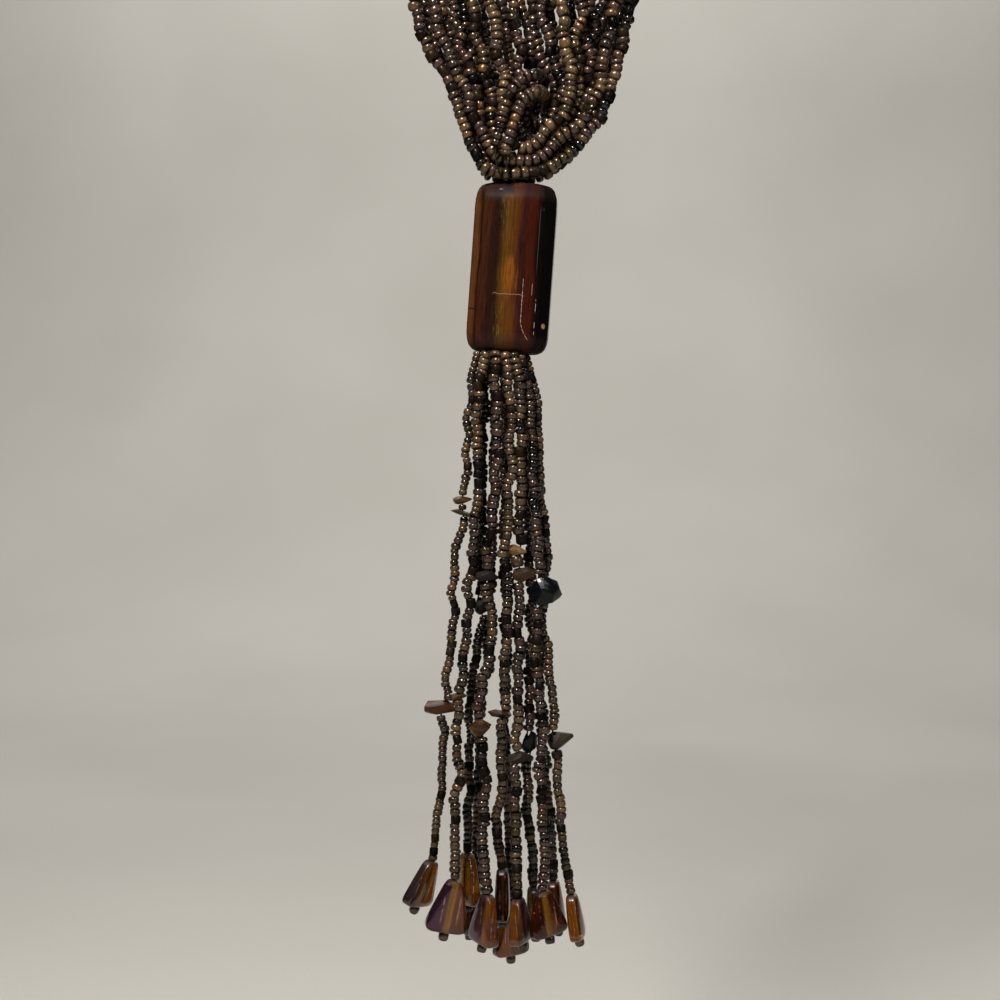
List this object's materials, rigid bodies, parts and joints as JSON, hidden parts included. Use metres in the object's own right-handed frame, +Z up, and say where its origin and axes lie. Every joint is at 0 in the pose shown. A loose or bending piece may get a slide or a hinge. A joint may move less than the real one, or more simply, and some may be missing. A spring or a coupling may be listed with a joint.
{
  "type": "multi-strand seed bead necklace with a tassel pendant",
  "caption": "Long necklace of many strands of seed beads, meeting over a polished stone bead with a beaded tassel of stone chips and glass drops below it.",
  "frame": {"origin": "the nape rest, at the middle of the strands behind the neck", "axes": "+Z up, +X to the viewer's right, the front of the necklace faces -Y"},
  "size_m": [0.1498, 0.1546, 0.5159],
  "materials": {
    "khaki_beads": "semi-matt bronze coat",
    "plum_beads": "iridescent coat",
    "grey_beads": "satin gunmetal coat",
    "tan_beads": "semi-gloss",
    "thread": "waxed",
    "focal_stone": "polished",
    "amber_glass": "iridescent coat",
    "amber_chip": "polished",
    "olive_chip": "polished",
    "dark_chip": "rough",
    "brown_chip": "polished",
    "black_chip": "polished"
  },
  "bodies": {
    "root": {"chip_01": "amber_chip", "chip_02": "olive_chip", "chip_03": "amber_chip", "chip_04": "dark_chip", "chip_05": "brown_chip", "chip_06": "black_chip", "chip_07": "dark_chip", "chip_08": "brown_chip", "chip_09": "olive_chip", "chip_10": "amber_chip", "chip_11": "brown_chip", "chip_12": "dark_chip", "chip_13": "black_chip", "chip_14": "olive_chip", "drop_01": "amber_glass", "drop_02": "amber_glass", "drop_03": "amber_glass", "drop_04": "amber_glass", "drop_05": "amber_glass", "drop_06": "amber_glass", "drop_07": "amber_glass", "drop_08": "amber_glass", "drop_09": "amber_glass", "drop_10": "amber_glass", "drop_11": "amber_glass", "drop_12": "amber_glass", "focal_bead": "focal_stone", "hanger_1": "khaki_beads", "hanger_2": "plum_beads", "loop_01": "khaki_beads", "loop_02": "khaki_beads", "loop_03": "plum_beads", "loop_04": "khaki_beads", "loop_05": "tan_beads", "loop_06": "plum_beads", "loop_07": "grey_beads", "loop_08": "khaki_beads", "loop_09": "plum_beads", "loop_10": "grey_beads", "loop_11": "khaki_beads", "loop_12": "plum_beads", "tassel_01": "khaki_beads", "tassel_02": "khaki_beads", "tassel_03": "grey_beads", "tassel_04": "plum_beads", "tassel_05": "khaki_beads", "tassel_06": "grey_beads", "tassel_07": "grey_beads", "tassel_08": "khaki_beads", "tassel_09": "plum_beads", "tassel_10": "plum_beads", "tassel_11": "grey_beads", "tassel_12": "khaki_beads", "thread_core": "thread"}
  },
  "joints": []
}
